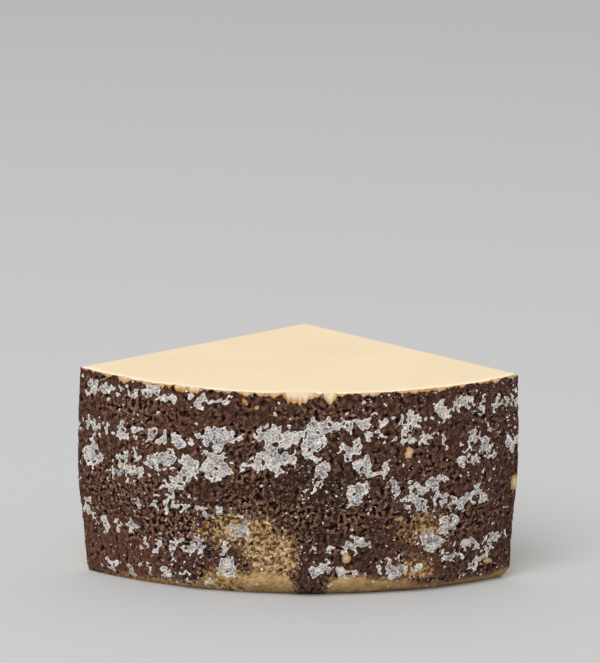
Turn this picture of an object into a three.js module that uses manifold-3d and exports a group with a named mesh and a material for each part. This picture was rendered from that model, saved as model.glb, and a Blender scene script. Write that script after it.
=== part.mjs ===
// A block of pecorino romano: about a quarter of a wheel, cut across its height as well. The top and the two
// upright sides are cuts through the pale paste, and the curved side keeps the wheel's dimpled, coated rind.
// Millimetres, +Z up. The origin is the middle of the base, the rind faces -Y and the cuts meet at the back.

import * as THREE from 'three';
import { mergeVertices } from 'three/addons/utils/BufferGeometryUtils.js';
import Module from 'manifold-3d';

// Driving dimensions of the block
const WHEEL_RADIUS = 150; // outside of the rind, at the top cut
const SECTOR_ANGLE = THREE.MathUtils.degToRad(93); // between the two upright cuts
const AXIS = [0.15, 75.8]; // X and Y of the wheel's axis, where the upright cuts would meet
const AXIS_HEIGHT = 109.7; // height of the block at the wheel's axis
const TOP_FALL = 0.05; // how far the top cut drops for each millimetre towards the rind
const POINT_SETBACK = 0.3; // the upright cuts stop this far in front of the axis

// The rind's upright profile. Each pair is the value at the left end and at the right end of the rind.
const BELLY = [1.6, 0.8]; // how far the rind swells out at mid height
const TAPER = [4.2, 3.4]; // how far the lower half of the wall draws in
const TAPER_SPAN = [0.1, 0.55]; // where it does so, in shares of the height
const FOOT_INSET = [1.2, 5.0]; // the rounded lower edge, inwards
const FOOT_MIDDLE = 4.0; // and this much further in the middle of the rind
const FOOT_HEIGHT = 8; // the rounded lower edge, upwards

// Relief of the rind
const WAVE_DEPTH = 0.45; // long, low unevenness of the pressed wheel
const DIMPLE_PITCH = 7.2; // the mould's dimples, from one to the next
const DIMPLE_RADIUS = 3.4;
const DIMPLE_DEPTH = 1.3;
const COAT_THICKNESS = 0.6; // the coat stands this far above the bare patches

// Pieces broken out of the rind along the top cut: middle along the rind, width, height and depth inwards
const CHIPS = [
  [-91, 8, 3.0, 1.8],
  [-77, 6, 1.8, 1.2],
  [-58.5, 7, 3.8, 2.2],
  [-51, 7, 3.2, 2.0],
  [-24, 5, 2.6, 1.4],
  [-10.5, 6, 2.2, 1.4],
  [1.5, 17, 5.4, 3.2],
  [16.5, 7, 5.6, 3.0],
  [38, 5, 2.0, 1.3],
  [72, 5, 2.2, 1.3],
  [106, 6, 2.0, 1.3],
];

// Patches where the coat has come off: middle along the rind, height, and half width and half height
const BARE_PATCHES = [
  [-17, 8, 20, 9],
  [-12, 24, 14, 9],
  [22, 3, 11, 7],
  [44, 1, 16, 5],
  [68, 0, 18, 4.5],
  [63, 13, 9, 5],
  [-70, 0, 22, 3.5],
  [116, 49, 4, 7],
];

// Openings in the paste
const EYES_PER_CUT = 13;
const EYE_RADIUS = [1.8, 4.0]; // the smallest and the largest
const EYE_FLATNESS = 0.6; // height of an eye against its width
const EYE_MARGIN = 11; // bare paste left round the edge of a cut

// Fineness of the faceted rind
const RIND_COLUMNS = 104;
const RIND_ROWS = 44;
const BACK_COLUMNS = 12; // round the rest of the wheel, which the upright cuts take away
const RIND_SPREAD = THREE.MathUtils.degToRad(97); // the angle that the rind's columns cover

const { lerp, smoothstep, clamp } = THREE.MathUtils;

// A repeatable draw between 0 and 1 for a whole-number place
function draw(i, j, k) {
  const v = Math.sin(i * 127.1 + j * 311.7 + k * 74.7) * 43758.5453;
  return v - Math.floor(v);
}

// Height of the top cut over a point of the base, measured from the wheel's axis
function topHeight(y) {
  return AXIS_HEIGHT + TOP_FALL * y;
}

function longWaves(along, height) {
  const slow = Math.sin(along / 9.1 + 0.6) * Math.sin(height / 11.3 + 1.1);
  const quick = Math.sin(along / 4.7 + height / 8.9);
  return WAVE_DEPTH * (0.6 * slow + 0.4 * quick);
}

// Depth of the dimples: one to each cell of a jittered grid, at its own depth
function dimples(along, height) {
  const column = Math.floor(along / DIMPLE_PITCH);
  const row = Math.floor(height / DIMPLE_PITCH);
  let deepest = 0;
  for (let i = column - 1; i <= column + 1; i++) {
    for (let j = row - 1; j <= row + 1; j++) {
      const x = (i + 0.2 + 0.6 * draw(i, j, 1)) * DIMPLE_PITCH;
      const z = (j + 0.2 + 0.6 * draw(i, j, 2)) * DIMPLE_PITCH;
      const share = Math.hypot(along - x, height - z) / DIMPLE_RADIUS;
      const depth = DIMPLE_DEPTH * (0.35 + 0.65 * draw(i, j, 3));
      deepest = Math.max(deepest, depth * (1 - smoothstep(share, 0, 1)));
    }
  }
  return deepest;
}

// Depth of the chips along the top cut: each is deepest at the cut and runs out below it
function chipping(along, belowTop) {
  let deepest = 0;
  for (const [middle, width, tall, depth] of CHIPS) {
    const across = 1 - Math.abs(along - middle) / (width / 2);
    if (across > 0) {
      const reach = tall * Math.sqrt(across);
      deepest = Math.max(deepest, depth * clamp(1.3 - belowTop / reach, 0, 1));
    }
  }
  return deepest;
}

// How bare the rind is, from 0 under whole coat to 1 in the middle of a patch
function bareness(along, height) {
  let most = 0;
  for (const [middle, level, halfWidth, halfHeight] of BARE_PATCHES) {
    const reach = Math.hypot((along - middle) / halfWidth, (height - level) / halfHeight);
    most = Math.max(most, 1 - smoothstep(reach, 0.8, 1.2));
  }
  return most;
}

// Distance of the rind from the wheel's axis. The angle is measured from the middle of the rind.
function rindRadius(angle, height, top) {
  if (Math.abs(angle) > RIND_SPREAD / 2) return WHEEL_RADIUS;
  const along = angle * WHEEL_RADIUS;
  const side = clamp(0.5 + angle / SECTOR_ANGLE, 0, 1);
  const share = clamp(height / top, 0, 1);
  const belly = lerp(...BELLY, side) * Math.sin(Math.PI * share ** 0.9);
  const taper = lerp(...TAPER, side) * (1 - smoothstep(share, ...TAPER_SPAN));
  const inset = lerp(...FOOT_INSET, side) + FOOT_MIDDLE * 4 * side * (1 - side);
  const foot = inset * clamp(1 - height / FOOT_HEIGHT, 0, 1) ** 2;
  const bare = bareness(along, height);
  const pitting = dimples(along, height) * (1 - 0.7 * bare);
  const relief = longWaves(along, height) - pitting - COAT_THICKNESS * bare;
  return WHEEL_RADIUS + belly - taper - foot + relief - chipping(along, top - height);
}

// The lathe's even angles, crowded into the part of the wheel that is kept. Zero is the middle of the rind.
function crowded(angle) {
  const kept = (Math.PI * RIND_COLUMNS) / (RIND_COLUMNS + BACK_COLUMNS);
  const turned = Math.abs(angle);
  const half = RIND_SPREAD / 2;
  const beyond = lerp(half, Math.PI, (turned - kept) / (Math.PI - kept));
  return Math.sign(angle) * (turned < kept ? (half * turned) / kept : beyond);
}

// The whole wheel at this height, turned on the axis and then given its relief and its sloping top
function wheelGeometry() {
  const profile = [new THREE.Vector2(0, 0)];
  for (let row = 0; row <= RIND_ROWS; row++) {
    profile.push(new THREE.Vector2(1, row / RIND_ROWS));
  }
  profile.push(new THREE.Vector2(0, 1));
  const geometry = new THREE.LatheGeometry(profile, RIND_COLUMNS + BACK_COLUMNS, -Math.PI);
  geometry.rotateX(Math.PI / 2);
  const place = geometry.attributes.position;
  for (let i = 0; i < place.count; i++) {
    const share = place.getZ(i);
    const angle = crowded(Math.atan2(place.getX(i), -place.getY(i)));
    const onRind = Math.hypot(place.getX(i), place.getY(i)) > 0.5;
    const top = topHeight(onRind ? -WHEEL_RADIUS * Math.cos(angle) : 0);
    const radius = onRind ? rindRadius(angle, share * top, top) : 0;
    const y = -radius * Math.cos(angle);
    place.setXYZ(i, radius * Math.sin(angle), y, share * topHeight(y));
  }
  return geometry;
}

// The space between the two upright cuts
function sectorGeometry() {
  const reach = 2 * WHEEL_RADIUS;
  const half = SECTOR_ANGLE / 2;
  const outline = new THREE.Shape([
    new THREE.Vector2(0, -POINT_SETBACK),
    new THREE.Vector2(-reach * Math.sin(half), -POINT_SETBACK - reach * Math.cos(half)),
    new THREE.Vector2(reach * Math.sin(half), -POINT_SETBACK - reach * Math.cos(half)),
  ]);
  const depth = 2 * AXIS_HEIGHT;
  const geometry = new THREE.ExtrudeGeometry(outline, { depth, bevelEnabled: false });
  return geometry.translate(0, 0, -depth / 4);
}

// One opening, centred on an upright cut. Side is -1 for the left cut and 1 for the right one.
function eyeGeometry(side, number) {
  const size = lerp(...EYE_RADIUS, draw(number, side, 4) ** 2);
  const out = lerp(EYE_MARGIN + 6, WHEEL_RADIUS - EYE_MARGIN, draw(number, side, 5));
  const up = lerp(EYE_MARGIN, AXIS_HEIGHT - 2 * EYE_MARGIN, (number + draw(number, side, 6)) / EYES_PER_CUT);
  const half = SECTOR_ANGLE / 2;
  const geometry = new THREE.SphereGeometry(size, 8, 6);
  geometry.scale(1, 0.7, EYE_FLATNESS);
  geometry.rotateY(draw(number, side, 7) - 0.5);
  geometry.rotateZ(side * (half - Math.PI / 2));
  return geometry.translate(side * out * Math.sin(half), -POINT_SETBACK - out * Math.cos(half), up);
}

const wasm = await Module();
wasm.setup();

function solid(geometry) {
  geometry.deleteAttribute('normal');
  geometry.deleteAttribute('uv');
  const merged = mergeVertices(geometry, 1e-4);
  const corners = merged.index.array;
  const triangles = [];
  for (let i = 0; i < corners.length; i += 3) {
    const [a, b, c] = [corners[i], corners[i + 1], corners[i + 2]];
    if (a !== b && b !== c && c !== a) triangles.push(a, b, c);
  }
  const vertProperties = Float32Array.from(merged.attributes.position.array);
  const triVerts = Uint32Array.from(triangles);
  return new wasm.Manifold(new wasm.Mesh({ numProp: 3, vertProperties, triVerts }));
}

function geometryOf(manifold) {
  const mesh = manifold.getMesh();
  const geometry = new THREE.BufferGeometry();
  geometry.setAttribute('position', new THREE.BufferAttribute(mesh.vertProperties, 3));
  geometry.setIndex(new THREE.BufferAttribute(mesh.triVerts, 1));
  return geometry;
}

function cheese() {
  let block = solid(wheelGeometry()).intersect(solid(sectorGeometry()));
  for (const side of [-1, 1]) {
    for (let number = 0; number < EYES_PER_CUT; number++) {
      block = block.subtract(solid(eyeGeometry(side, number)));
    }
  }
  const finish = new THREE.MeshStandardMaterial({ color: 0xe8d0a6, roughness: 0.6, metalness: 0 });
  const mesh = new THREE.Mesh(geometryOf(block), finish);
  mesh.name = 'cheese';
  mesh.position.set(...AXIS, 0);
  return mesh;
}

const part = new THREE.Group();
part.add(cheese());

export default part;
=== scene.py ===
"""A block of pecorino romano, dressed: its dimpled, coated rind, its cut paste and a pale studio floor."""

import math
import random

import bpy
import numpy as np
from mathutils import Matrix, Vector
from mathutils.geometry import delaunay_2d_cdt


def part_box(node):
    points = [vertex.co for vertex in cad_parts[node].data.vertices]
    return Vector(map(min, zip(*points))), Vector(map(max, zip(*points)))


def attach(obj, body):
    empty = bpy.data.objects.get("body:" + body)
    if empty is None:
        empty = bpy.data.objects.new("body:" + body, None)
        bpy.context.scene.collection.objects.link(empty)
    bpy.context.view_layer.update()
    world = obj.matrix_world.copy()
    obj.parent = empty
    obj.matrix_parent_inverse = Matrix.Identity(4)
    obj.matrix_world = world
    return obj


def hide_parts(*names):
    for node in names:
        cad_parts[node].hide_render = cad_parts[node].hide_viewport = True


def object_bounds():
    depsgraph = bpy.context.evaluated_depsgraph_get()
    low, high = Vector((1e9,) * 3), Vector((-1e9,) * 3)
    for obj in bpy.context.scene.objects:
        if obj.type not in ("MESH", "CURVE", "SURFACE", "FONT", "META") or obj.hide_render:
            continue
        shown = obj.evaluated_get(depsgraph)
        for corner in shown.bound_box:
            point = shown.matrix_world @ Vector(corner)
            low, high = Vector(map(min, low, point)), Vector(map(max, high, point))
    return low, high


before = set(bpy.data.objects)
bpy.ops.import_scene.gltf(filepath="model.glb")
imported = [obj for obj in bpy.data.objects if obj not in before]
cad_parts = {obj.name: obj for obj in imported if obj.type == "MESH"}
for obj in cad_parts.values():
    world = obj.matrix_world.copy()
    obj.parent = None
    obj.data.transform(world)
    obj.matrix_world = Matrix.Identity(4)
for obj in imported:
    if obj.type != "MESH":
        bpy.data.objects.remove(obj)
cad_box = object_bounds()

# Sizes of the block. They are in millimetres until the mesh is made, and places are measured from the
# wheel's axis, on the base.
MM = 0.001
WHEEL_RADIUS = 150.0
HALF_SECTOR = math.radians(93) / 2
TOP_FALL = 0.05  # how far the top cut drops for each millimetre towards the rind
POINT_SETBACK = 0.3  # the upright cuts stop this far in front of the axis
highest_corner = np.array(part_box("cheese")[1]) / MM
AXIS_X = 0.15
AXIS_Y = highest_corner[1] + POINT_SETBACK
AXIS_HEIGHT = highest_corner[2] + TOP_FALL * POINT_SETBACK

# The rind's upright profile. Each pair is the value at the rind's left end and at its right end.
BELLY = (1.6, 0.8)  # how far the rind swells out at mid height
TAPER = (4.2, 3.4)  # how far the lower half of the wall draws in
TAPER_SPAN = (0.1, 0.55)  # where it does so, in shares of the height
FOOT_INSET = (1.2, 5.0)  # the rounded lower edge, inwards
FOOT_MIDDLE = 4.0  # and this much further in the middle of the rind
FOOT_HEIGHT = 8.0  # the rounded lower edge, upwards

# Relief of the rind
WAVE_DEPTH = 0.45
BROAD_PITS = {"pitch": 7.2, "radius": 3.4, "depth": 0.7}
MOULD_PITS = {"pitch": 4.0, "radius": 2.4, "depth": 2.3}
SMALL_PITS = {"pitch": 2.0, "radius": 1.2, "depth": 1.0}
COAT_GRAIN = {"size": 1.5, "depth": 0.1}
CREASES = {"size": 6.5, "depth": 0.5}
WRINKLES = {"size": 1.8, "depth": 0.9}
STREAKS = {"width": 1.7, "length": 5.0, "depth": 0.2}
STREAKED_TO, STREAKS_FADE = -20.0, 50.0  # they start left of this place and are full this much further left
HOLLOW_DEPTH = 0.45  # a hollow this deep against its surroundings counts as fully sunk
COAT_THICKNESS = 0.6

# Rougher stretches of the coat: middle along the rind, height, half width, half height, and how rough the
# mould's pits and the wrinkles between them are
ROUGH_PATCHES = [
    (-92, 48, 34, 26, 0.55, 0.9),
    (-62, 34, 24, 16, 0.9, 0.9),
    (-80, 88, 44, 12, 0.8, 0.3),
    (-22, 66, 14, 26, 1.0, 0.6),
    (-6, 40, 40, 16, 0.9, 0.5),
    (34, 44, 22, 16, 1.0, 0.3),
    (58, 84, 20, 12, 0.6, 0.3),
    (76, 62, 14, 10, 0.8, 0.2),
    (88, 36, 26, 14, 0.5, 0.6),
    (20, 92, 34, 10, 0.4, 0.5),
]
CALM_PITS, CALM_WRINKLES = 0.42, 0.06  # on the smoother coat between them

# Ruddier stretches of the coat: middle along the rind, height, half width, half height, spread and strength.
# The first has flatter creases too. The last lightens the upper left as painted light.
RUDDY_AND_LIT_PATCHES = [
    (-104, 6, 40, 34, 1.4, 1.0),
    (64, 20, 22, 22, 1.3, 0.6),
    # Painted light: the upper left made lighter, where more light falls from the left
    (-92, 68, 44, 40, 1.4, 0.4),
]

# The stretch with mossy flecks, its coat darkened there as painted shade, in the same order
MOSSY_SHADED_PATCH = (-4, 48, 46, 40, 1.4, 1.0)

# The band under the top cut where breaks are stained: how far down it starts, and how far it takes to fade in
RIM_BAND, RIM_FADE = 12.0, 6.0

# Pieces broken out of the rind along the top cut: middle along the rind, width, height and depth inwards
CHIPS = [
    (-91, 8, 3.0, 1.8),
    (-77, 6, 1.8, 1.2),
    (-58.5, 7, 3.8, 2.2),
    (-51, 7, 3.2, 2.0),
    (-24, 5, 2.6, 1.4),
    (-10.5, 6, 2.2, 1.4),
    (1.5, 17, 5.4, 3.2),
    (16.5, 7, 5.6, 3.0),
    (38, 5, 2.0, 1.3),
    (72, 5, 2.2, 1.3),
    (106, 6, 2.0, 1.3),
]

# Patches where the coat has come off: middle along the rind, height, half width, half height, and how broken
# the patch is, as the distance that its outline strays
BARE_PATCHES = [
    (-15, 4, 16, 9, 1.8),
    (-34, 5, 14, 8, 3.6),
    (-11, 21, 13, 12, 4.4),
    (-26, 33, 18, 8, 9.0),
    (29, 3, 14, 8, 1.6),
    (46, 2, 20, 6, 2.0),
    (68, 0, 18, 4.5, 2.0),
    (98, 0, 26, 3.8, 1.2),
    (118, 0.5, 8, 5.5, 1.2),
    (63, 13, 9, 5, 4.5),
    (66, 33, 9, 6, 9.0),
    (-66, 0, 38, 4.2, 2.8),
]
CRUMBLED = 5.0  # a patch this broken counts as crumbled all over

# Spots where a flake is off down to the pale paste: middle along the rind, height, half width, half height
# and lean in degrees
FLAKED_SPOTS = [
    (56, 72, 2.2, 2.8, 0),
    (26, 20, 2.4, 2.4, 0),
    (106, 11.5, 2.4, 1.6, 0),
    (120, 50, 2.6, 4.4, 0),
    (52, 39, 2.0, 1.2, 0),
    (-25.0, 97.6, 1.0, 2.2, 35),
    (-18.6, 95.2, 1.4, 1.0, 20),
]

# Pale bloom left on the coat: middle along the rind, height, half width, half height and lean in degrees
BLOOM_PATCHES = [
    (-111, 95.5, 5.5, 3.0, 12),
    (-75, 99, 5.5, 4.0, -20),
    (-39, 79, 9.5, 5.5, 4),
    (-39, 66, 8.0, 7.5, -18),
    (-111, 63, 6.0, 6.5, -50),
    (-91, 61, 9.5, 3.0, 42),
    (-84, 57, 7.0, 3.0, 14),
    (-67, 65, 8.5, 4.5, 10),
    (-53, 61, 5.0, 7.0, -8),
    (-61, 53, 7.5, 4.0, 24),
    (-64, 46, 3.0, 7.0, -10),
    (-116, 34, 2.6, 5.4, 30),
    (-8, 81, 11.0, 5.5, -6),
    (-10, 69, 13.0, 5.5, 6),
    (7, 77, 6.0, 8.0, 20),
    (15, 86, 8.5, 3.4, 8),
    (12, 64, 3.4, 9.0, -20),
    (27, 75, 5.5, 3.0, 28),
    (34, 66, 6.0, 5.0, -30),
    (43, 63, 4.0, 2.6, 20),
    (30, 53, 6.0, 6.0, 40),
    (48, 56, 4.0, 3.0, -20),
    (66, 55, 11.0, 3.4, 16),
    (62, 46, 7.5, 4.2, -30),
    (78, 46, 10.0, 3.0, -16),
    (90, 47, 8.0, 3.4, 38),
    (97, 47, 6.0, 2.6, -22),
    (80, 34, 6.0, 4.5, 30),
    (70, 26, 7.0, 4.5, -24),
    (33, 27, 4.8, 3.6, 8),
    (94, 22, 8.0, 3.4, -6),
    (109, 23, 7.0, 3.2, 30),
    (101, 14, 10.0, 2.2, 36),
    (82, 17.5, 5.5, 1.8, 4),
    (52, 13, 7.5, 4.5, -12),
    (15, 14, 6.5, 2.6, 6),
    (-27, 33, 3.6, 5.0, 10),
    (-34, 15, 4.2, 5.6, -20),
    (-48, 22, 3.0, 4.6, 20),
    (75, 91, 4.0, 4.6, 12),
    (92, 77, 7.0, 2.6, 44),
    (101, 72, 3.4, 6.0, -24),
    (75, 78, 3.0, 3.6, 36),
    (117, 71, 4.0, 4.5, 0),
]

# Rows of smaller bloom: height, half height, from, to, and the distance from one blotch to the next
BLOOM_ROWS = [
    (96.5, 3.0, -102, -34, 9.5),
    (77.0, 4.2, -116, -50, 8.2),
    (88.0, 4.0, 25, 62, 8.6),
    (93.5, 4.4, 82, 119, 8.0),
    (80.0, 3.0, 40, 64, 8.0),
    (66.0, 3.4, 84, 104, 9.0),
    (43.0, 3.2, -82, -38, 9.0),
    (28.0, 3.0, -104, -84, 8.0),
    (22.0, 3.4, -80, -40, 8.5),
    (25.0, 2.4, 8, 28, 9.0),
    (6.8, 3.0, -102, -42, 11.5),
    (13.0, 2.8, 12, 66, 10.5),
]
FLECK_PITCH = 4.4
OUTSIDE = -9.0  # the value of a patch's field well away from it

# Openings in the paste
EYES_IN_SOLID = 13
SMALL_EYES = 24
TOP_EYES = 9
EYE_RADIUS = (1.8, 4.0)
SMALL_EYE_RADIUS = (0.45, 1.3)
EYE_FLATNESS = 0.6  # height of an eye against its width
EYE_MARGIN = 11.0
EYE_CORNERS = 18
EYE_RINGS = [(1.14, 0.0), (1.0, 0.02), (0.93, 0.28), (0.74, 0.56), (0.42, 0.74)]  # shares of radius and depth
FENCED_RINGS = 3  # the outer rings that the cut's triangles keep to
EYE_DEPTH = 0.85  # of the radius
LARGE_EYE_DEPTH = 0.6  # a large eye is only this share as deep for its size

# Fineness of the surface
RIND_COLUMNS = 448
RIND_ROWS = 190
EDGE_STEP = 1.6
CUT_STEP = 4.2
BASE_STEP = 9.0
CUT_WAVES = {"size": 22.0, "depth": 0.3}  # the knife's slight unevenness
SHARP_BELOW = 0.3  # a cut's edge is sharp where the rind beside it is chipped less than this

PASTE, RIND = 0, 1  # material slots of the block


# Numbers, noise and patterns


def lerp(low, high, share):
    return low + (high - low) * share


def ease(share):
    """0 up to 0, 1 from 1 on, and a smooth step between."""
    share = np.clip(share, 0, 1)
    return share * share * (3 - 2 * share)


def draw(i, j, k):
    """A repeatable draw between 0 and 1 for a whole-number place. The third number tells its uses apart."""
    v = np.sin(i * 127.1 + j * 311.7 + k * 74.7) * 43758.5453
    return v - np.floor(v)


def noise(x, y, seed):
    """Smooth noise about 0, mostly between -0.7 and 0.7, with features about one unit across."""
    i, j = np.floor(x), np.floor(y)
    u, v = x - i, y - j

    def pull(di, dj):
        turn = math.tau * draw(i + di, j + dj, seed)
        return np.cos(turn) * (u - di) + np.sin(turn) * (v - dj)

    low = lerp(pull(0, 0), pull(1, 0), ease(u))
    high = lerp(pull(0, 1), pull(1, 1), ease(u))
    return 1.4 * lerp(low, high, ease(v))


def rough(x, y, size, seed, octaves=3):
    """Noise about 0, from features of the size down to finer ones. Each octave is turned against the last."""
    total, weight = 0, 1
    for octave in range(octaves):
        total = total + weight * noise(x / size + 17.3 * octave, y / size, seed + octave)
        x, y = 0.8 * x - 0.6 * y, 0.6 * x + 0.8 * y
        size, weight = size * 0.5, weight * 0.5
    return total


def top_height(y):
    """Height of the top cut at a distance from the wheel's axis."""
    return AXIS_HEIGHT + TOP_FALL * y


def near_cells(along, height, pitch):
    """The nine cells of a square grid at and round each place, one after the other."""
    column, row = np.floor(along / pitch), np.floor(height / pitch)
    for i in (column - 1, column, column + 1):
        for j in (row - 1, row, row + 1):
            yield i, j


def pits(along, height, pitch, radius, seed):
    """Rounded pits, one to each cell of a jittered grid: 0 at the surface, up to 1 in the deepest."""
    deepest = np.zeros_like(along)
    for i, j in near_cells(along, height, pitch):
        x = (i + 0.2 + 0.6 * draw(i, j, seed)) * pitch
        z = (j + 0.2 + 0.6 * draw(i, j, seed + 1)) * pitch
        share = np.hypot(along - x, height - z) / radius
        depth = 0.35 + 0.65 * draw(i, j, seed + 2)
        deepest = np.maximum(deepest, depth * (1 - ease(share)))
    return deepest


def crooked_pits(along, height, pitch, radius, seed):
    """Pits of mixed size, strewn without order, with their own lean and crooked outlines."""
    stray = 0.45 * pitch
    along = along + stray * rough(along, height, pitch, seed + 5)
    height = height + stray * rough(along, height, pitch, seed + 8)
    deepest = np.zeros_like(along)
    for i, j in near_cells(along, height, pitch):
        x = along - (i + draw(i, j, seed)) * pitch
        z = height - (j + draw(i, j, seed + 1)) * pitch
        lean = math.pi * draw(i, j, seed + 2)
        u = x * np.cos(lean) + z * np.sin(lean)
        v = z * np.cos(lean) - x * np.sin(lean)
        size = radius * (0.45 + 0.55 * draw(i, j, seed + 3))
        depth = 0.12 + 0.88 * draw(i, j, seed + 4) ** 1.8
        reach = np.hypot(0.75 * u, 1.2 * v) / size
        deepest = np.maximum(deepest, depth * (1 - ease(reach / 0.7 - 0.4)))
    return deepest


def oval_reach(along, height, middle, level, half_width, half_height):
    """How far out in an oval each place is: 0 in its middle, 1 on its outline and more beyond."""
    return np.hypot((along - middle) / half_width, (height - level) / half_height)


def soft_oval(along, height, middle, level, half_width, half_height, spread, strength):
    """An oval at its full strength inside, which fades to 0 where its reach comes up to the spread."""
    return strength * ease(spread - oval_reach(along, height, middle, level, half_width, half_height))


def patch_field(along, height, middle, level, half_width, half_height, lean=0.0):
    """Distance inside a leaning oval patch, in about millimetres: above 0 inside and below 0 outside."""
    c, s = math.cos(math.radians(lean)), math.sin(math.radians(lean))
    u = (along - middle) * c + (height - level) * s
    v = (height - level) * c - (along - middle) * s
    reach = np.hypot(u / half_width, v / half_height)
    return (1 - reach) * min(half_width, half_height)


# Relief and fields of the rind. Along is the distance from its middle, to the right.


def roughness(along, height):
    """How strong the mould's pits and the wrinkles are at each place."""
    pitted = np.full_like(along, CALM_PITS)
    wrinkled = np.full_like(along, CALM_WRINKLES)
    stray = 0.35 * rough(along, height, 14.0, seed=51)
    gaps = 0.25 + 0.75 * ease(0.6 + 1.4 * rough(along, height, 7.0, seed=54, octaves=2))
    for middle, level, half_width, half_height, pit_share, wrinkle_share in ROUGH_PATCHES:
        reach = oval_reach(along, height, middle, level, half_width, half_height)
        share = ease(1.5 - 1.3 * reach + stray)
        pitted = np.maximum(pitted, pit_share * share)
        wrinkled = np.maximum(wrinkled, wrinkle_share * share)
    return pitted * (0.4 + 0.6 * gaps), wrinkled * gaps


def blurred(values, reach):
    """The values of a grid, each averaged with its neighbours up to the reach."""
    for axis in (0, 1):
        padding = [(0, 0), (0, 0)]
        padding[axis] = (reach, reach)
        padded = np.pad(values, padding, mode="edge")
        length = values.shape[axis]
        shifted = [np.take(padded, range(n, n + length), axis) for n in range(2 * reach + 1)]
        values = sum(shifted) / len(shifted)
    return values


def long_waves(along, height):
    """Long, low unevenness of the pressed wheel."""
    slow = np.sin(along / 9.1 + 0.6) * np.sin(height / 11.3 + 1.1)
    quick = np.sin(along / 4.7 + height / 8.9)
    return WAVE_DEPTH * (0.6 * slow + 0.4 * quick)


def chipping(along, below_top):
    """Depth of the chips along the top cut, and how far above each chip's lower edge a point lies. Each chip
    is deepest at the cut and runs out below it, and between them the rim crumbles in small teeth."""
    deepest = np.zeros_like(along)
    above = np.full_like(along, OUTSIDE)
    ragged = 1 + 0.5 * rough(along, 0.4, 2.6, seed=61)
    narrowest = 1e-6
    for middle, width, tall, depth in CHIPS:
        across = np.clip(1 - np.abs(along - middle) / (width / 2), narrowest, 1)
        chipped = across > narrowest
        reach = tall * np.sqrt(across) * ragged
        deepest = np.maximum(deepest, depth * np.clip(1 - below_top / reach, 0, 1) ** 1.6 * chipped)
        above = np.maximum(above, np.where(chipped, reach - below_top, OUTSIDE))
    teeth = 0.9 * noise(along / 2.1, 0.6, seed=72) + 0.6 * noise(along / 1.2, 0.6, seed=73)
    crumbled = 0.35 + 1.9 * np.maximum(0, 0.05 + noise(along / 5.5, 0.3, seed=71)) + teeth
    deepest = np.maximum(deepest, 0.8 * np.maximum(0, crumbled - below_top))
    return deepest, np.maximum(above, crumbled - below_top)


def bare_field(along, height):
    """Above 0 where the coat is off and the rind shows, and how broken up the coat is there."""
    broad = rough(along, height, 5.5, seed=81)
    fine = rough(along, height, 2.2, seed=91)
    field = np.full_like(along, OUTSIDE)
    brokenness = np.full_like(along, 0.5)
    for *patch, broken in BARE_PATCHES:
        reach = patch_field(along, height, *patch) + broken * (0.5 * broad + 0.4 * fine)
        brokenness = np.where(reach > field, broken, brokenness)
        field = np.maximum(field, reach)
    return field, blurred(brokenness, reach=4)


def bloom_row_patches():
    """The blotches of the rows, each drawn with its own place, size and lean."""
    patches = []
    for row, (level, half_height, start, end, step) in enumerate(BLOOM_ROWS):
        count = round((end - start) / step)
        for n in range(count + 1):
            middle = start + n * step + 3.0 * (draw(n, row, 101) - 0.5)
            lift = half_height * 0.5 * (draw(n, row, 102) - 0.5)
            half_width = lerp(1.4, 3.6, draw(n, row, 103))
            tall = half_height * lerp(0.5, 1.1, draw(n, row, 104))
            lean = 70 * (draw(n, row, 105) - 0.5)
            patches.append((middle, level + lift, half_width, tall, lean))
    return patches


def flecks(along, height):
    """Small scattered flecks of bloom, thicker on some parts of the rind."""
    sideways = 1.1 * rough(along, height, 3.0, seed=148)
    upwards = 1.1 * rough(along, height, 3.0, seed=152)
    along, height = along + sideways, height + upwards
    field = np.full_like(along, OUTSIDE)
    for i, j in near_cells(along, height, FLECK_PITCH):
        x = (i + draw(i, j, 111)) * FLECK_PITCH
        z = (j + draw(i, j, 112)) * FLECK_PITCH
        crowd = 0.3 + 0.6 * noise(x / 26, z / 20, seed=113)
        radius = np.where(draw(i, j, 114) < crowd, lerp(0.2, 1.0, draw(i, j, 115) ** 1.5), OUTSIDE)
        field = np.maximum(field, radius - np.hypot(along - x, (height - z) * 1.2))
    return field


def bloom_field(along, height, pitting):
    """Above 0 where pale bloom lies on the coat: a net of strokes, closed up in the middle of a patch. Deep
    pits stay free of it."""
    lobes = rough(along, height, 5.2, seed=121, octaves=2)
    fine = rough(along, height, 2.0, seed=131, octaves=2)
    strokes = 0.8 - 3.4 * np.abs(rough(along, height, 4.4, seed=136, octaves=2))
    bent_along = along + 3.4 * rough(along, height, 7.0, seed=141)
    bent_height = height + 3.0 * rough(along, height, 6.0, seed=145)
    patch_reach = np.full_like(along, OUTSIDE)
    for patch in BLOOM_PATCHES + bloom_row_patches():
        patch_reach = np.maximum(patch_reach, patch_field(bent_along, bent_height, *patch))
    spread = np.clip(patch_reach, -3.0, 1.7) + 2.0 * lobes + 0.9 * fine + 0.5
    field = np.minimum(spread, strokes + 0.45 * np.clip(patch_reach, 0, 3))
    field = np.maximum(field, flecks(along, height) + 0.5 * fine)
    return field - 1.9 * ease((pitting - 0.4) / 0.3)


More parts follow.
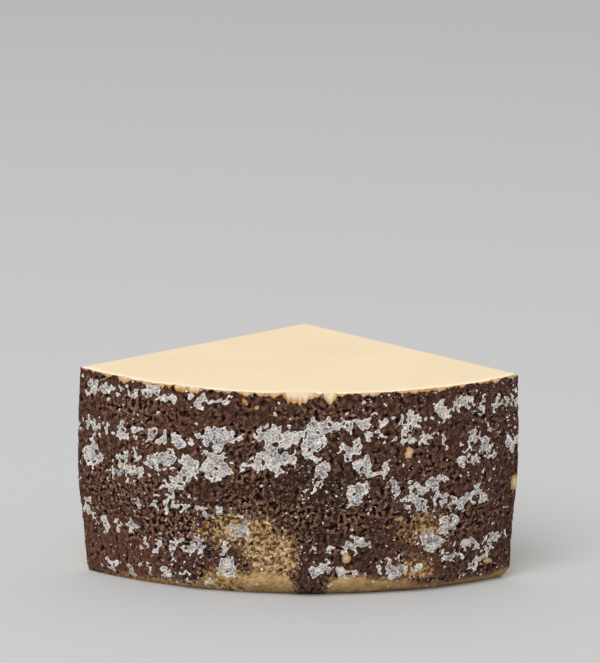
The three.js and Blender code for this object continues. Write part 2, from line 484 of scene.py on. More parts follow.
def coat_texture(along, height, coated, wrinkled, flattened):
    """Height of the streaks, creases and grain together, and height of the wrinkles. The pattern is turned
    and bent, so that it doesn't line up with the wheel."""
    bend = 2.2 * rough(along, height, 9.0, seed=164, octaves=2)
    turned = (0.8 * along - 0.6 * height + bend, 0.6 * along + 0.8 * height - bend)
    streaks = noise((along + bend) / STREAKS["width"], height / STREAKS["length"], seed=151)
    streaks = STREAKS["depth"] * streaks * ease((STREAKED_TO - along) / STREAKS_FADE)
    creases = CREASES["depth"] * np.abs(rough(*turned, CREASES["size"], seed=155))
    creases = creases * (0.4 + 0.6 * coated) * (1 - 0.5 * flattened)
    grain = COAT_GRAIN["depth"] * rough(*turned, COAT_GRAIN["size"], seed=161, octaves=2)
    wrinkles = WRINKLES["depth"] * wrinkled * rough(*turned, WRINKLES["size"], seed=158, octaves=2)
    return streaks + creases + grain, wrinkles


def profile_radius(angle, height, top):
    """The rind's radius before its relief."""
    side = np.clip(0.5 + angle / (2 * HALF_SECTOR), 0, 1)
    share = np.clip(height / top, 0, 1)
    belly = lerp(*BELLY, side) * np.sin(np.pi * share**0.9)
    taper = lerp(*TAPER, side) * (1 - ease((share - TAPER_SPAN[0]) / (TAPER_SPAN[1] - TAPER_SPAN[0])))
    inset = lerp(*FOOT_INSET, side) + FOOT_MIDDLE * 4 * side * (1 - side)
    foot = inset * np.clip(1 - height / FOOT_HEIGHT, 0, 1) ** 2
    return WHEEL_RADIUS + belly - taper - foot


def rind_fields(angle, share):
    """The rind's radius at each angle and share of the height, and the fields that its finish comes from."""
    along = angle * WHEEL_RADIUS
    top = top_height(-WHEEL_RADIUS * np.cos(angle))
    height = share * top
    ruddy_and_lit = [soft_oval(along, height, *patch) for patch in RUDDY_AND_LIT_PATCHES]

    # What is coated, bare, crumbled or chipped
    pitted, wrinkled = roughness(along, height)
    bare, broken = bare_field(along, height)
    crumbly = ease(0.5 + bare / 3) * np.clip(broken / CRUMBLED, 0, 1)
    pitted = np.maximum(pitted, 0.7 * crumbly)
    wrinkled = np.maximum(wrinkled, crumbly)
    coated = 1 - ease(0.5 + bare / 0.9)
    chip_depth, chip = chipping(along, top - height)
    flake_outline = 0.8 * rough(along, height, 2.4, seed=95)
    for spot in FLAKED_SPOTS:
        chip = np.maximum(chip, patch_field(along, height, *spot) + flake_outline)

    # The relief that comes of it
    broad = BROAD_PITS["depth"] * pits(along, height, BROAD_PITS["pitch"], BROAD_PITS["radius"], seed=1)
    mould = pitted * crooked_pits(along, height, MOULD_PITS["pitch"], MOULD_PITS["radius"], seed=11)
    small = wrinkled * crooked_pits(along, height, SMALL_PITS["pitch"], SMALL_PITS["radius"], seed=21)
    pitting = MOULD_PITS["depth"] * mould + SMALL_PITS["depth"] * small
    texture, wrinkles = coat_texture(along, height, coated, wrinkled, flattened=ruddy_and_lit[0])
    whole = np.maximum(coated, np.clip(broken / CRUMBLED, 0.3, 1)) * (1 - ease(chip + 0.5))
    fine_relief = texture + (wrinkles - pitting) * whole - COAT_THICKNESS * (1 - coated)
    radius = profile_radius(angle, height, top) + long_waves(along, height)
    radius = radius - broad + fine_relief - chip_depth

    fields = {
        "bare": bare,
        "broken": broken,
        "bloom": bloom_field(along, height, np.maximum(mould, 0.8 * small)),
        "chip": chip,
        "rind_depth": np.maximum(chip, 0),
        "hollow": np.clip((blurred(fine_relief, reach=3) - fine_relief) / HOLLOW_DEPTH, -1, 1),
        "wrinkled": wrinkled,
        "moss_and_shade": soft_oval(along, height, *MOSSY_SHADED_PATCH),
        "ruddy_and_lit": np.maximum.reduce(ruddy_and_lit),
        "rim": ease((height - top + RIM_BAND) / RIM_FADE),
    }
    return radius, fields


def rind_depth(point):
    """How far under the rind's surface a point lies."""
    x, y, height = point
    radius = float(profile_radius(math.atan2(x, -y), height, top_height(y)))
    return max(0.0, radius - math.hypot(x, y))


# Eyes and cuts


class Eye:
    """One small opening in the paste, in the flat coordinates of its cut face."""

    def __init__(self, middle, size, lean, seed):
        self.middle = middle
        self.size = size
        self.lean = lean
        self.depth = EYE_DEPTH * size * (LARGE_EYE_DEPTH if size > SMALL_EYE_RADIUS[1] else 1.0)
        self.bulges = [float(draw(seed, n, 171)) for n in range(4)]

    def ring(self, share):
        """Points round the eye at a share of its radius."""
        points = []
        for n in range(EYE_CORNERS):
            turn = math.tau * n / EYE_CORNERS
            two = 0.22 * self.bulges[0] * math.sin(2 * turn + 6 * self.bulges[1])
            three = 0.2 * self.bulges[2] * math.sin(3 * turn + 6 * self.bulges[3])
            out = self.size * share * (1 + two + three)
            u, v = out * math.cos(turn), out * math.sin(turn) * EYE_FLATNESS
            c, s = math.cos(self.lean), math.sin(self.lean)
            points.append((self.middle[0] + u * c - v * s, self.middle[1] + u * s + v * c))
        return points


def far_enough(middle, size, eyes):
    return all(math.dist(middle, e.middle) > 1.6 * (size + e.size) + 0.4 for e in eyes)


def upright_eyes(side):
    """Eyes of one upright cut: the larger ones of the solid, and small ones between them."""
    eyes = []
    for number in range(EYES_IN_SOLID):
        size = lerp(*EYE_RADIUS, float(draw(number, side, 4)) ** 2)
        out = lerp(EYE_MARGIN + 6, WHEEL_RADIUS - EYE_MARGIN, float(draw(number, side, 5)))
        level = (number + float(draw(number, side, 6))) / EYES_IN_SOLID
        middle = (-side * out, lerp(EYE_MARGIN, AXIS_HEIGHT - 2 * EYE_MARGIN, level))
        lean = -side * (float(draw(number, side, 7)) - 0.5)
        if far_enough(middle, size, eyes):
            eyes.append(Eye(middle, size, lean, number + 40 * side))
    chance = random.Random(90 + side)
    while len(eyes) < EYES_IN_SOLID + SMALL_EYES:
        size = lerp(*SMALL_EYE_RADIUS, chance.random() ** 1.6)
        middle = (-side * chance.uniform(8, WHEEL_RADIUS - 6), chance.uniform(6, AXIS_HEIGHT - 14))
        if far_enough(middle, size, eyes):
            eyes.append(Eye(middle, size, -chance.uniform(-1.2, 1.2), len(eyes) + 40 * side))
    return eyes


def top_eyes():
    """A few small eyes in the back half of the top cut."""
    chance = random.Random(7)
    eyes = []
    while len(eyes) < TOP_EYES:
        size = lerp(*SMALL_EYE_RADIUS, chance.random())
        out, turn = chance.uniform(22, 78), chance.uniform(-0.6, 0.6)
        middle = (out * math.sin(turn), -out * math.cos(turn))
        if far_enough(middle, size, eyes):
            eyes.append(Eye(middle, size, chance.uniform(-1.5, 1.5), len(eyes) + 200))
    return eyes


def inside(outline, points):
    """Which of the points lie inside a closed outline."""
    x, y = np.array(points).T
    crossings = np.zeros(len(x), int)
    for (ax, ay), (bx, by) in zip(outline, [*outline[1:], outline[0]]):
        if ay != by:
            crossings += ((ay > y) != (by > y)) & (x < ax + (bx - ax) * (y - ay) / (by - ay))
    return crossings % 2 == 1


def scattered(outline, eyes, step, seed):
    """Jittered points inside an outline, clear of it and of the eyes."""
    corners = np.array(outline)
    low, high = corners.min(0), corners.max(0)
    columns, rows = (np.arange(int(span / step) + 1) for span in high - low)
    i, j = (grid.ravel() for grid in np.meshgrid(columns, rows))
    x = low[0] + (i + 0.25 + 0.5 * draw(i, j, seed)) * step
    y = low[1] + (j + 0.25 + 0.5 * draw(i, j, seed + 1)) * step
    kept = inside(outline, list(zip(x, y)))
    kept &= np.min(np.hypot(corners[:, :1] - x, corners[:, 1:] - y), axis=0) > 0.35 * step
    for eye in eyes:
        kept &= np.hypot(x - eye.middle[0], y - eye.middle[1]) > 1.5 * eye.size + 0.5
    return list(zip(x[kept], y[kept]))


def cut_points(outline, eyes, step, seed):
    """The flat points of a cut face, the depth of each, and the lines between them that its triangles keep
    to. The outline comes first."""
    flat = [Vector(p) for p in outline]
    depths = [0.0] * len(flat)
    fences = [(n, (n + 1) % len(flat)) for n in range(len(flat))]
    for eye in eyes:
        for ring, (share, depth) in enumerate(EYE_RINGS):
            first = len(flat)
            flat.extend(Vector(p) for p in eye.ring(share))
            depths.extend([depth * eye.depth] * EYE_CORNERS)
            if ring < FENCED_RINGS:
                fences.extend((first + n, first + (n + 1) % EYE_CORNERS) for n in range(EYE_CORNERS))
        flat.append(Vector(eye.middle))
        depths.append(eye.depth)
    for point in scattered(outline, eyes, step, seed):
        flat.append(Vector(point))
        depths.append(0.0)
    return flat, depths, fences


# The closed mesh


class Surface:
    """A closed surface put together face by face, with a value of every field at each point. The fields bare,
    broken, bloom, chip and rind_depth are in about millimetres, and the others are shares."""

    FIELDS = ("bare", "broken", "bloom", "chip", "hollow", "wrinkled", "moss_and_shade", "ruddy_and_lit", "rim", "rind_depth")

    def __init__(self):
        self.points = []
        self.values = {name: [] for name in self.FIELDS}
        self.faces = []
        self.finishes = []
        self.sharp = set()

    def add_point(self, point, **values):
        self.points.append(point)
        for name in self.FIELDS:
            self.values[name].append(values.get(name, 0.0))
        return len(self.points) - 1

    def add_paste_point(self, point):
        return self.add_point(point, rind_depth=rind_depth(point))

    def add_face(self, corners, finish):
        self.faces.append(corners)
        self.finishes.append(finish)

    def add_edge(self, start, end, step):
        """A straight edge between two points that are there already. Returns its points in order."""
        a, b = np.array(self.points[start]), np.array(self.points[end])
        count = max(2, round(float(np.linalg.norm(b - a)) / step))
        between = [self.add_paste_point(lerp(a, b, n / count)) for n in range(1, count)]
        return [start, *between, end]

    def fill(self, loop, to_flat, from_flat, eyes, step, seed):
        """Fills a closed loop with a cut face, evenly scattered with points and opened by the eyes. Away from
        the rind it may be slightly uneven, and its edges are sharp except at the chips."""
        outline = [to_flat(self.points[n]) for n in loop]
        flat, depths, fences = cut_points(outline, eyes, step, seed)
        made, _, faces, origins, _, _ = delaunay_2d_cdt(flat, fences, [], 1, 1e-5, True)
        index = []
        for (u, v), origin in zip(made, origins):
            source = min(origin, default=None)
            if source is not None and source < len(loop):
                index.append(loop[source])
                continue
            inner = ease(rind_depth(from_flat(u, v, 0.0)) / 25 - 0.2)  # from 5 to 30 mm under the rind
            waves = CUT_WAVES["depth"] * float(rough(u, v, CUT_WAVES["size"], seed, octaves=2) * inner)
            depth = max(0.0, waves) + (depths[source] if source is not None else 0.0)
            index.append(self.add_paste_point(from_flat(u, v, depth)))
        middles = [sum((made[n] for n in face), Vector((0, 0))) / len(face) for face in faces]
        for face, kept in zip(faces, inside(outline, middles)):
            if kept:
                self.add_face([index[n] for n in face], PASTE)
        for start, end in zip(loop, [*loop[1:], loop[0]]):
            if max(self.values["chip"][start], self.values["chip"][end]) < SHARP_BELOW:
                self.sharp.add(frozenset((start, end)))

    def make(self, name, materials):
        """The mesh object of the surface, in metres and in the frame's place."""
        points = (np.array(self.points) + (AXIS_X, AXIS_Y, 0)) * MM
        points = np.clip(points, np.array(cad_box[0]), np.array(cad_box[1]))
        mesh = bpy.data.meshes.new(name)
        mesh.from_pydata(points.tolist(), [], self.faces)
        for material in materials:
            mesh.materials.append(material)
        mesh.polygons.foreach_set("material_index", self.finishes)
        mesh.polygons.foreach_set("use_smooth", [True] * len(self.faces))
        for edge in mesh.edges:
            edge.use_edge_sharp = frozenset(edge.vertices) in self.sharp
        for field, values in self.values.items():
            attribute = mesh.attributes.new(field, "FLOAT", "POINT")
            attribute.data.foreach_set("value", values)
        mesh.validate()
        made = bpy.data.objects.new(name, mesh)
        bpy.context.scene.collection.objects.link(made)
        return made


def add_rind(surface):
    """The pressed and coated outside of the wheel. Returns its point numbers by row and column."""
    angles = np.linspace(-HALF_SECTOR, HALF_SECTOR, RIND_COLUMNS + 1)
    shares = np.linspace(0, 1, RIND_ROWS + 1)
    angle, share = np.meshgrid(angles, shares)
    radius, fields = rind_fields(angle, share)
    out = radius - POINT_SETBACK * np.cos(angle)
    x, y = out * np.sin(angle), -POINT_SETBACK - out * np.cos(angle)
    z = share * top_height(y)
    for n in range(angle.size):
        values = {name: float(field.flat[n]) for name, field in fields.items()}
        surface.add_point((x.flat[n], y.flat[n], z.flat[n]), **values)
    grid = np.arange(angle.size).reshape(angle.shape)
    for row in range(RIND_ROWS):
        for column in range(RIND_COLUMNS):
            low = grid[row, column : column + 2].tolist()
            high = grid[row + 1, column : column + 2].tolist()
            surface.add_face([low[0], low[1], high[1], high[0]], RIND)
    return grid


def upright_face(side):
    """How an upright cut is laid out flat: from a point to its flat place, and back with a depth inwards."""
    run = (side * math.sin(HALF_SECTOR), -math.cos(HALF_SECTOR))
    inward = (-side * math.cos(HALF_SECTOR), -math.sin(HALF_SECTOR))

    def to_flat(point):
        return -side * (point[0] * run[0] + (point[1] + POINT_SETBACK) * run[1]), point[2]

    def from_flat(u, v, depth):
        x = -side * u * run[0] + depth * inward[0]
        y = -POINT_SETBACK - side * u * run[1] + depth * inward[1]
        return x, y, v

    return to_flat, from_flat


def add_cuts(surface, grid):
    """The top, the base and the two upright cuts, sharing their edges with the rind and with each other."""
    point_top = top_height(-POINT_SETBACK)
    point_low = surface.add_point((0.0, -POINT_SETBACK, 0.0), rind_depth=WHEEL_RADIUS)
    point_high = surface.add_point((0.0, -POINT_SETBACK, point_top), rind_depth=WHEEL_RADIUS)
    spine = surface.add_edge(point_low, point_high, EDGE_STEP)
    rind_ends = {-1: grid[:, 0].tolist(), 1: grid[:, -1].tolist()}
    base_edges, top_edges = {}, {}
    for side, column in rind_ends.items():
        base_edges[side] = surface.add_edge(column[0], point_low, EDGE_STEP)
        top_edges[side] = surface.add_edge(column[-1], point_high, EDGE_STEP)

    rim, foot = grid[-1].tolist(), grid[0].tolist()
    surface.fill(
        rim + top_edges[1][1:] + top_edges[-1][-2:0:-1],
        to_flat=lambda point: (point[0], point[1]),
        from_flat=lambda u, v, depth: (u, v, top_height(v) - depth),
        eyes=top_eyes(),
        step=CUT_STEP,
        seed=210,
    )
    surface.fill(
        foot[::-1] + base_edges[-1][1:] + base_edges[1][-2:0:-1],
        to_flat=lambda point: (-point[0], point[1]),
        from_flat=lambda u, v, depth: (-u, v, 0.0),
        eyes=[],
        step=BASE_STEP,
        seed=220,
    )
    for side, column in rind_ends.items():
        loop = base_edges[side][::-1] + column[1:] + top_edges[side][1:] + spine[-2:0:-1]
        if side > 0:
            loop.reverse()
        to_flat, from_flat = upright_face(side)
        surface.fill(loop, to_flat, from_flat, eyes=upright_eyes(side), step=CUT_STEP, seed=230 + side)


# Shader nodes


def linear(red, green, blue):
    """A shader colour from screen values between 0 and 255."""
    parts = (v / 255 for v in (red, green, blue))
    return (*(v / 12.92 if v <= 0.04045 else ((v + 0.055) / 1.055) ** 2.4 for v in parts), 1.0)


def node(tree, kind, inputs=None, **settings):
    """Adds a shader node. An input that is a socket is linked, and any other is set."""
    made = tree.nodes.new(kind)
    for name, value in settings.items():
        setattr(made, name, value)
    for name, value in (inputs or {}).items():
        if isinstance(value, bpy.types.NodeSocket):
            tree.links.new(value, made.inputs[name])
        else:
            made.inputs[name].default_value = value
    return made


def mixed(tree, low, high, mask):
    """The colour that goes from low to high with a mask. Colours are sockets or values."""
    made = node(tree, "ShaderNodeMix", data_type="RGBA")
    for name, value in (("Factor_Float", mask), ("A_Color", low), ("B_Color", high)):
        socket = next(s for s in made.inputs if s.identifier == name)
        if isinstance(value, bpy.types.NodeSocket):
            tree.links.new(value, socket)
        else:
            socket.default_value = value
    return next(s for s in made.outputs if s.identifier == "Result_Color")


def maths(tree, operation, *values):
    made = node(tree, "ShaderNodeMath", dict(enumerate(values)), operation=operation)
    return made.outputs["Value"]


def tinted(tree, base, tint, mask, share):
    """The base colour with a tint over it, by the mask times the share. The share may be a mask too."""
    return mixed(tree, base, tint, maths(tree, "MULTIPLY", mask, share))


def ramp(tree, value, start, end, low=0.0, high=1.0):
    """Goes evenly from low to high as the value goes from start to end, and no further."""
    ends = {"Value": value, "From Min": start, "From Max": end, "To Min": low, "To Max": high}
    return node(tree, "ShaderNodeMapRange", ends).outputs["Result"]


def stored(tree, name):
    """One of the fields stored at the surface's points."""
    return node(tree, "ShaderNodeAttribute", attribute_name=name).outputs["Fac"]


def clouds(tree, size, detail):
    """Noise over the surface, between 0 and 1."""
    place = node(tree, "ShaderNodeTexCoord").outputs["Object"]
    made = node(tree, "ShaderNodeTexNoise", {"Vector": place, "Scale": size, "Detail": detail})
    return made.outputs["Fac"]


def new_group(name, inputs, output):
    """An empty node group of number sockets. Returns its tree, what it is given and where its output goes."""
    tree = bpy.data.node_groups.new(name, "ShaderNodeTree")
    for socket, value in inputs.items():
        made = tree.interface.new_socket(socket, in_out="INPUT", socket_type="NodeSocketFloat")
        made.default_value = value
    tree.interface.new_socket(output, in_out="OUTPUT", socket_type="NodeSocketFloat")
    return tree, tree.nodes.new("NodeGroupInput").outputs, tree.nodes.new("NodeGroupOutput").inputs[output]


def ragged_edge_group():
    """Turns a field in millimetres into a mask with a finely frayed edge where the field crosses 0."""
    inputs = {"Field": 0.0, "Fray": 0.6, "Fray size": 900.0, "Softness": 0.15}
    tree, given, mask = new_group("Ragged edge", inputs, "Mask")
    swing = maths(tree, "SUBTRACT", clouds(tree, given["Fray size"], 2.0), 0.5)
    moved = maths(tree, "MULTIPLY_ADD", swing, given["Fray"], given["Field"])
    below = maths(tree, "MULTIPLY", given["Softness"], -1.0)
    ends = {"Value": moved, "From Min": below, "From Max": given["Softness"]}
    edge = node(tree, "ShaderNodeMapRange", ends, interpolation_type="SMOOTHSTEP")
    tree.links.new(edge.outputs["Result"], mask)
    return tree


def mottle_group():
    """Soft blotches between 0 and 1, with the contrast that is asked for."""
    inputs = {"Size": 200.0, "Detail": 3.0, "Low": 0.35, "High": 0.65, "Shift": 0.0}
    tree, given, value = new_group("Mottle", inputs, "Value")
    place = node(tree, "ShaderNodeTexCoord").outputs["Object"]
    pattern = {"Vector": place, "W": given["Shift"], "Scale": given["Size"], "Detail": given["Detail"]}
    blotches = node(tree, "ShaderNodeTexNoise", pattern, noise_dimensions="4D")
    spread = ramp(tree, blotches.outputs["Fac"], given["Low"], given["High"])
    tree.links.new(spread, value)
    return tree


def grain_group():
    """Fine unevenness of a surface: a coarse and a fine grain added up."""
    inputs = {"Coarse size": 500.0, "Fine size": 2200.0, "Fine share": 0.4}
    tree, given, height = new_group("Grain", inputs, "Height")
    coarse = clouds(tree, given["Coarse size"], 3.0)
    fine = clouds(tree, given["Fine size"], 2.0)
    tree.links.new(maths(tree, "MULTIPLY_ADD", fine, given["Fine share"], coarse), height)
    return tree


RAGGED = ragged_edge_group()
MOTTLE = mottle_group()
GRAIN = grain_group()


def use(tree, group, **inputs):
    """Places a node group and returns its output. Input names have their spaces as underscores."""
    named = {name.replace("_", " "): value for name, value in inputs.items()}
    return node(tree, "ShaderNodeGroup", named, node_tree=group).outputs[0]


def new_material(name):
    """A material with an empty node tree. Returns both."""
    material = bpy.data.materials.new(name)
    material.use_nodes = True
    material.node_tree.nodes.clear()
    return material, material.node_tree


def finish_material(tree, colour, height, distance, strength, **values):
    """The surface shader: a colour, a bump with its distance in metres, and the shader's other values."""
    bump = node(tree, "ShaderNodeBump", {"Height": height, "Distance": distance, "Strength": strength})
    values = {"Base Color": colour, "Normal": bump.outputs["Normal"], **values}
    shader = node(tree, "ShaderNodeBsdfPrincipled", values)
    node(tree, "ShaderNodeOutputMaterial", {"Surface": shader.outputs["BSDF"]})


# Materials of the cheese


def paste_colour(tree):
    """Pale paste, faintly uneven, paler near the rind, stained in places and edged by the coat."""
    cloudy = use(tree, MOTTLE, Size=26.0, Low=0.3, High=0.7, Shift=1.0)
    paste = mixed(tree, linear(224, 201, 165), linear(229, 207, 172), cloudy)
    depth = stored(tree, "rind_depth")
    near_rind = maths(tree, "POWER", ramp(tree, depth, 7.0, 0.5), 2.2)
    paste = mixed(tree, paste, linear(246, 232, 207), near_rind)
    patchy = use(tree, MOTTLE, Size=190.0, Low=0.58, High=0.68, Shift=2.0)
    edge = maths(tree, "MULTIPLY", ramp(tree, depth, 2.4, 0.6), patchy)
    paste = tinted(tree, paste, linear(200, 146, 76), edge, 0.6)
    return mixed(tree, paste, linear(70, 44, 32), ramp(tree, depth, 0.8, 0.5))


def paste_material():
    """Smooth cut paste."""
    material, tree = new_material("Cut paste")
    height = use(tree, GRAIN, Coarse_size=240.0, Fine_size=1500.0, Fine_share=0.35)
    values = {
        "Roughness": 0.5,
        "Specular IOR Level": 0.35,
        "Subsurface Weight": 0.12,
        "Subsurface Scale": 0.004,
    }
    finish_material(tree, paste_colour(tree), height, distance=0.0004, strength=0.35, **values)
    return material


def coat_colour(tree):
    """The dark coat: warm brown, with painted highlights on its ridges and painted shade in its pits."""
    patchy = use(tree, MOTTLE, Size=320.0, Low=0.35, High=0.68, Shift=3.0)
    coat = mixed(tree, linear(60, 36, 26), linear(88, 56, 43), patchy)
    # Ruddier stretches, and painted light on the upper left
    coat = tinted(tree, coat, linear(106, 66, 46), stored(tree, "ruddy_and_lit"), 0.6)
    # Painted shade: the mossy middle of the rind darkened, as it gets less light than the ends
    coat = tinted(tree, coat, linear(38, 25, 15), stored(tree, "moss_and_shade"), 0.66)
    # Painted glints: small pale pinkish specks standing for highlights on the ridges, more where the coat is
    # wrinkled
    glint_specks = use(tree, MOTTLE, Size=1000.0, Low=0.56, High=0.62, Shift=4.0)
    glint_share = maths(tree, "MULTIPLY_ADD", stored(tree, "wrinkled"), 0.9, 0.12)
    coat = tinted(tree, coat, linear(206, 162, 138), glint_specks, glint_share)
    # Painted shade: small near-black dots for tiny shaded pits, more where the coat is wrinkled
    shade_dots = use(tree, MOTTLE, Size=1000.0, Low=0.54, High=0.6, Shift=13.0)
    dot_shade_share = maths(tree, "MULTIPLY_ADD", stored(tree, "wrinkled"), 0.5, 0.5)
    coat = tinted(tree, coat, linear(12, 5, 2), shade_dots, dot_shade_share)
    hollow = stored(tree, "hollow")
    # Painted highlight on the ridges, where the coat stands above its surroundings
    coat = tinted(tree, coat, linear(164, 118, 96), ramp(tree, hollow, -0.1, -0.8), 0.65)
    # Painted shade, nearly black, in the pits and hollows
    coat = mixed(tree, coat, linear(14, 5, 1), ramp(tree, hollow, 0.08, 0.6))
    flecked = use(tree, MOTTLE, Size=480.0, Low=0.6, High=0.66, Shift=6.0)
    return tinted(tree, coat, linear(136, 104, 62), stored(tree, "moss_and_shade"), flecked)


def bare_rind_colour(tree):
    """The natural rind under the coat: tan, with painted highlight and shade on its crumbs where broken."""
    patchy = use(tree, MOTTLE, Size=160.0, Low=0.35, High=0.65, Shift=7.0)
    tan = mixed(tree, linear(170, 134, 84), linear(198, 165, 116), patchy)
    # Ruddier in the same stretches, and painted light on the upper left
    tan = tinted(tree, tan, linear(176, 120, 76), stored(tree, "ruddy_and_lit"), 0.5)
    crumbly = ramp(tree, stored(tree, "broken"), 1.5, 4.5)
    # Painted highlights on the crumbs where the rind is broken
    light = use(tree, MOTTLE, Size=400.0, Low=0.5, High=0.58, Shift=15.0)
    tan = tinted(tree, tan, linear(222, 188, 142), light, crumbly)
    # Painted shade in the crevices between the crumbs
    crevice_shade = use(tree, MOTTLE, Size=460.0, Low=0.53, High=0.58, Shift=8.0)
    tan = tinted(tree, tan, linear(112, 70, 34), crevice_shade, crumbly)
    # Painted shade in the hollows of the bare rind
    sunk = ramp(tree, stored(tree, "hollow"), 0.1, 0.7)
    return tinted(tree, tan, linear(86, 50, 24), sunk, 0.7)


def bloom_colour(tree):
    """The pale bloom: off-white at its edges, with grey speckles inside and warmer in places."""
    cloudy = use(tree, MOTTLE, Size=1000.0, Low=0.43, High=0.57, Shift=9.0)
    white = mixed(tree, linear(178, 171, 164), linear(234, 227, 218), cloudy)
    grey = mixed(tree, linear(112, 109, 115), linear(202, 198, 197), cloudy)
    thin = use(tree, MOTTLE, Size=170.0, Low=0.42, High=0.6, Shift=12.0)
    pale = mixed(tree, white, grey, thin)
    edge = ramp(tree, stored(tree, "bloom"), 0.6, 0.2)
    pale = tinted(tree, pale, linear(252, 246, 240), edge, 0.85)
    warm = use(tree, MOTTLE, Size=90.0, Low=0.56, High=0.7, Shift=10.0)
    return tinted(tree, pale, linear(226, 208, 180), warm, 0.5)


def broken_colour(tree):
    """Breaks at the rim: tan beside the coat, partly as painted shade, paler above, with orange-brown stains.
    """
    chip = stored(tree, "chip")
    # Darker tan low on the break, beside the coat: partly the rind's own tan, partly painted shade
    pale = mixed(tree, linear(184, 146, 98), linear(216, 197, 168), ramp(tree, chip, 0.4, 2.6))
    patchy = use(tree, MOTTLE, Size=170.0, Low=0.5, High=0.6, Shift=11.0)
    low_down = maths(tree, "MULTIPLY", patchy, ramp(tree, chip, 3.2, 0.6))
    at_rim = maths(tree, "MULTIPLY_ADD", stored(tree, "rim"), 0.8, 0.2)
    stains = maths(tree, "MULTIPLY", low_down, at_rim)
    return tinted(tree, pale, linear(178, 120, 50), stains, 0.8)


def bloom_mask(tree):
    """Where bloom shows: its patches with small holes in them, and specks, thick where the coat is broken."""
    bloom = use(tree, RAGGED, Field=stored(tree, "bloom"), Fray=1.2, Fray_size=1200.0, Softness=0.12)
    holes = use(tree, MOTTLE, Size=900.0, Low=0.62, High=0.66, Shift=14.0)
    bloom = maths(tree, "MULTIPLY", bloom, maths(tree, "MULTIPLY_ADD", holes, -0.85, 1.0))
    specks = use(tree, MOTTLE, Size=620.0, Low=0.64, High=0.66, Shift=16.0)
    crowds = use(tree, MOTTLE, Size=36.0, Low=0.46, High=0.6, Shift=17.0)
    crowds = maths(tree, "MAXIMUM", crowds, ramp(tree, stored(tree, "broken"), 2.0, 4.0))
    return maths(tree, "MAXIMUM", bloom, maths(tree, "MULTIPLY", specks, crowds))


def rind_material():
    """The whole rind: coat, bare patches, bloom and breaks, one over the other."""
    material, tree = new_material("Coated rind")
    crumbly = maths(tree, "MULTIPLY_ADD", stored(tree, "broken"), 2.4, 0.6)
    bare = use(tree, RAGGED, Field=stored(tree, "bare"), Fray=crumbly, Fray_size=620.0, Softness=0.2)
    bloom = bloom_mask(tree)
    chip = use(tree, RAGGED, Field=stored(tree, "chip"), Fray=0.8, Fray_size=900.0, Softness=0.2)
    colour = mixed(tree, coat_colour(tree), bare_rind_colour(tree), bare)
    colour = mixed(tree, colour, bloom_colour(tree), bloom)
    colour = mixed(tree, colour, broken_colour(tree), chip)
    grain = use(tree, GRAIN, Coarse_size=1000.0, Fine_size=2600.0, Fine_share=0.4)
    calm = maths(tree, "MULTIPLY_ADD", chip, -0.5, 1.0)
    height = maths(tree, "MULTIPLY_ADD", bloom, 0.3, maths(tree, "MULTIPLY", grain, calm))
    dull = ramp(tree, maths(tree, "MAXIMUM", bloom, bare), 0.0, 1.0, low=0.42, high=0.85)
    values = {"Roughness": dull, "Specular IOR Level": 0.1}
    finish_material(tree, colour, height, distance=0.0013, strength=1.0, **values)
    return material


def cheese_block():
    """The block itself, in place of the plain solid."""
    surface = Surface()
    grid = add_rind(surface)
    add_cuts(surface, grid)
    block = surface.make("pecorino_block", [paste_material(), rind_material()])
    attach(block, "root")
    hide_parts("cheese")


# Floor, in metres
FLOOR_SIZE = 30.0
FLOOR_SHADE = linear(188, 188, 188)


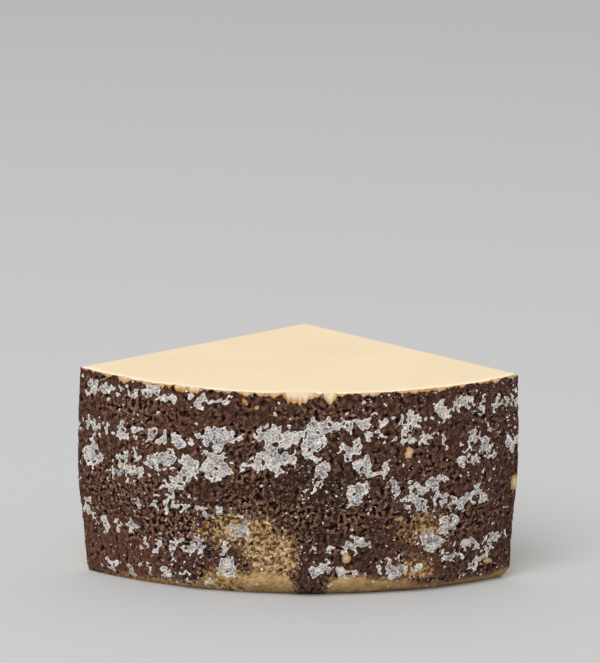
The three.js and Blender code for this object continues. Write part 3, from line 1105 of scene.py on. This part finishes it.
def studio_floor():
    """A wide, plain, pale floor."""
    half = FLOOR_SIZE / 2
    corners = [(-half, -half, 0), (half, -half, 0), (half, half, 0), (-half, half, 0)]
    mesh = bpy.data.meshes.new("studio_floor")
    mesh.from_pydata(corners, [], [(0, 1, 2, 3)])
    material, tree = new_material("Studio floor")
    height = use(tree, GRAIN, Coarse_size=300.0, Fine_size=1500.0, Fine_share=0.3)
    values = {"Roughness": 0.9, "Specular IOR Level": 0.2}
    finish_material(tree, FLOOR_SHADE, height, distance=0.0001, strength=0.1, **values)
    mesh.materials.append(material)
    floor = bpy.data.objects.new("studio_floor", mesh)
    bpy.context.scene.collection.objects.link(floor)


# Light, in metres and watts: an even sky, and a large lamp high up in front on the left
SKY_STRENGTH = 0.7
LAMP_PLACE = (-1.7, -4.6, 5.4)
LAMP_SIZE = 5.0
LAMP_POWER = 412.0


def studio_light():
    """The sky, and the lamp turned to the block."""
    world = bpy.data.worlds.new("Studio sky")
    world.use_nodes = True
    background = world.node_tree.nodes["Background"]
    background.inputs["Color"].default_value = (1.0, 1.0, 1.0, 1.0)
    background.inputs["Strength"].default_value = SKY_STRENGTH
    bpy.context.scene.world = world
    light = bpy.data.lights.new("Front lamp", "AREA")
    light.size = LAMP_SIZE
    light.energy = LAMP_POWER
    lamp = bpy.data.objects.new("Front lamp", light)
    lamp.location = LAMP_PLACE
    lamp.rotation_euler = lamp.location.to_track_quat("Z", "Y").to_euler()
    bpy.context.scene.collection.objects.link(lamp)


# The camera, placed from the wheel's axis. The block is turned a little, so the camera stands right of it.
CAMERA_FROM_AXIS = Vector((46.4, -1770.0, 429.5)) * MM
CAMERA_TURN = math.radians(1.585)
CAMERA_DOWN = math.radians(10.372)
CAMERA_ROLL = math.radians(0.636)
CAMERA_LENS = 186.05


def photo_camera():
    """The camera, at the picture's angle."""
    data = bpy.data.cameras.new("Camera")
    data.sensor_width = 36.0
    data.lens = CAMERA_LENS
    data.clip_start, data.clip_end = 0.05, 60.0
    camera = bpy.data.objects.new("Camera", data)
    place = Vector((AXIS_X * MM, AXIS_Y * MM, 0)) + CAMERA_FROM_AXIS
    turn = Matrix.Rotation(CAMERA_TURN, 4, "Z") @ Matrix.Rotation(math.pi / 2 - CAMERA_DOWN, 4, "X")
    camera.matrix_world = Matrix.Translation(place) @ turn @ Matrix.Rotation(CAMERA_ROLL, 4, "Z")
    bpy.context.scene.collection.objects.link(camera)
    bpy.context.scene.camera = camera


bpy.context.scene.view_settings.view_transform = "Standard"
photo_camera()
studio_light()
studio_floor()
cheese_block()
